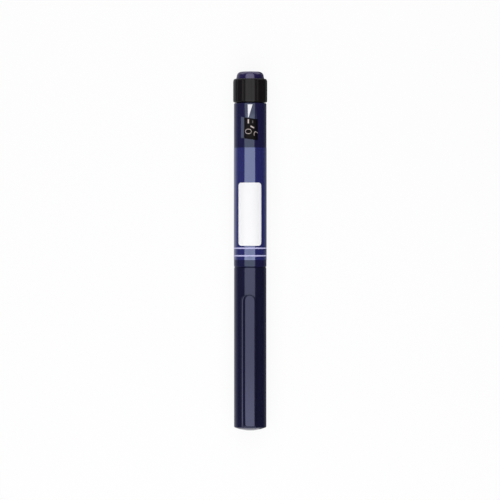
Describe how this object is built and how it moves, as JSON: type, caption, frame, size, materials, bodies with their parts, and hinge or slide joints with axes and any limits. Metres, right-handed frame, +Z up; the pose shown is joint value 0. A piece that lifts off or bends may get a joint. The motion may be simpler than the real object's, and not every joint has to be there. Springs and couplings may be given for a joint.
{
  "type": "insulin pen",
  "caption": "Disposable injection pen with a clip-on cap, dose window, fluted dose knob, push button, glass cartridge and a threaded piston rod drive inside.",
  "frame": {"origin": "under the middle of the pen lying on its back, where the dose knob rests on the surface", "axes": "+X along the pen towards the dose button, +Z up through the dose window, the pen lying down"},
  "size_m": [0.162, 0.0154, 0.0172],
  "materials": {
    "dark_blue_cap": "glossy",
    "dark_blue_housing": "glossy",
    "printed_label": "satin film with a bare white panel",
    "clear_holder": "clear",
    "clear_glass": "clear",
    "seal_rubber": "matt",
    "crimped_aluminium": "brushed",
    "plunger_rubber": "matt",
    "white_plastic": "matt",
    "blue_grey_plastic": "matt",
    "grey_plastic": "matt",
    "blue_plastic": "matt",
    "light_plastic": "matt",
    "orange_plastic": "matt",
    "black_drum": "satin",
    "black_knob": "satin",
    "spring_steel": "bright",
    "indigo_button": "glossy"
  },
  "bodies": {
    "housing": {"housing": "dark_blue_housing", "label": "printed_label", "cartridge_holder": "clear_holder", "cartridge_glass": "clear_glass", "cartridge_seal": "seal_rubber", "crimp_cap": "crimped_aluminium", "rod_nut": "blue_grey_plastic", "ratchet_ring": "grey_plastic"},
    "cap": {"cap": "dark_blue_cap"},
    "carriage": {"clutch_spring": "spring_steel"},
    "dial": {"scale_drum": "black_drum", "dose_knob": "black_knob"},
    "limit_nut": {"limit_nut": "orange_plastic"},
    "click_ring": {"click_ring": "light_plastic"},
    "button": {"push_button": "indigo_button"},
    "bushing": {"bushing": "light_plastic"},
    "driver": {"driver": "blue_plastic"},
    "piston_rod": {"piston_rod": "white_plastic"},
    "plunger": {"plunger": "plunger_rubber", "rod_foot": "white_plastic"}
  },
  "joints": [
    {"name": "cap_pull", "type": "slide", "parent": "housing", "child": "cap", "axis": [-1, 0, 0], "range_m": [0, 0.095]},
    {"name": "dose_travel", "type": "slide", "parent": "housing", "child": "carriage", "axis": [1, 0, 0], "range_m": [0, 0.0255]},
    {"name": "dose_dial", "type": "hinge", "parent": "carriage", "child": "dial", "pos_m": [0, 0, 0.0077], "axis": [-1, 0, 0], "range_deg": [0, 1080]},
    {"name": "nut_travel", "type": "slide", "parent": "dial", "child": "limit_nut", "axis": [1, 0, 0], "range_m": [0, 0.0045]},
    {"name": "click_press", "type": "slide", "parent": "dial", "child": "click_ring", "axis": [-1, 0, 0], "range_m": [0, 0.0015]},
    {"name": "button_press", "type": "slide", "parent": "carriage", "child": "button", "axis": [-1, 0, 0], "range_m": [0, 0.0015], "stiffness_N_per_m": 800, "springref_m": -0.0015, "deforming": ["clutch_spring"]},
    {"name": "bushing_spin", "type": "hinge", "parent": "button", "child": "bushing", "pos_m": [0, 0, 0.0077], "axis": [1, 0, 0], "range_deg": [0, 5400]},
    {"name": "drive_spin", "type": "hinge", "parent": "housing", "child": "driver", "pos_m": [0, 0, 0.0077], "axis": [1, 0, 0], "range_deg": [0, 5400]},
    {"name": "rod_advance", "type": "slide", "parent": "driver", "child": "piston_rod", "axis": [-1, 0, 0], "range_m": [0, 0.04104]},
    {"name": "plunger_travel", "type": "slide", "parent": "housing", "child": "plunger", "axis": [-1, 0, 0], "range_m": [0, 0.04104]}
  ],
  "couplings": [
    {"joint": "dose_dial", "follows": "dose_travel", "rad_per_m": 739.2},
    {"joint": "nut_travel", "follows": "dose_travel", "ratio": 0.17647},
    {"joint": "click_press", "follows": "button_press", "ratio": 1},
    {"joint": "bushing_spin", "follows": "plunger_travel", "rad_per_m": 2296.5},
    {"joint": "drive_spin", "follows": "plunger_travel", "rad_per_m": 2296.5},
    {"joint": "rod_advance", "follows": "plunger_travel", "ratio": 1}
  ]
}
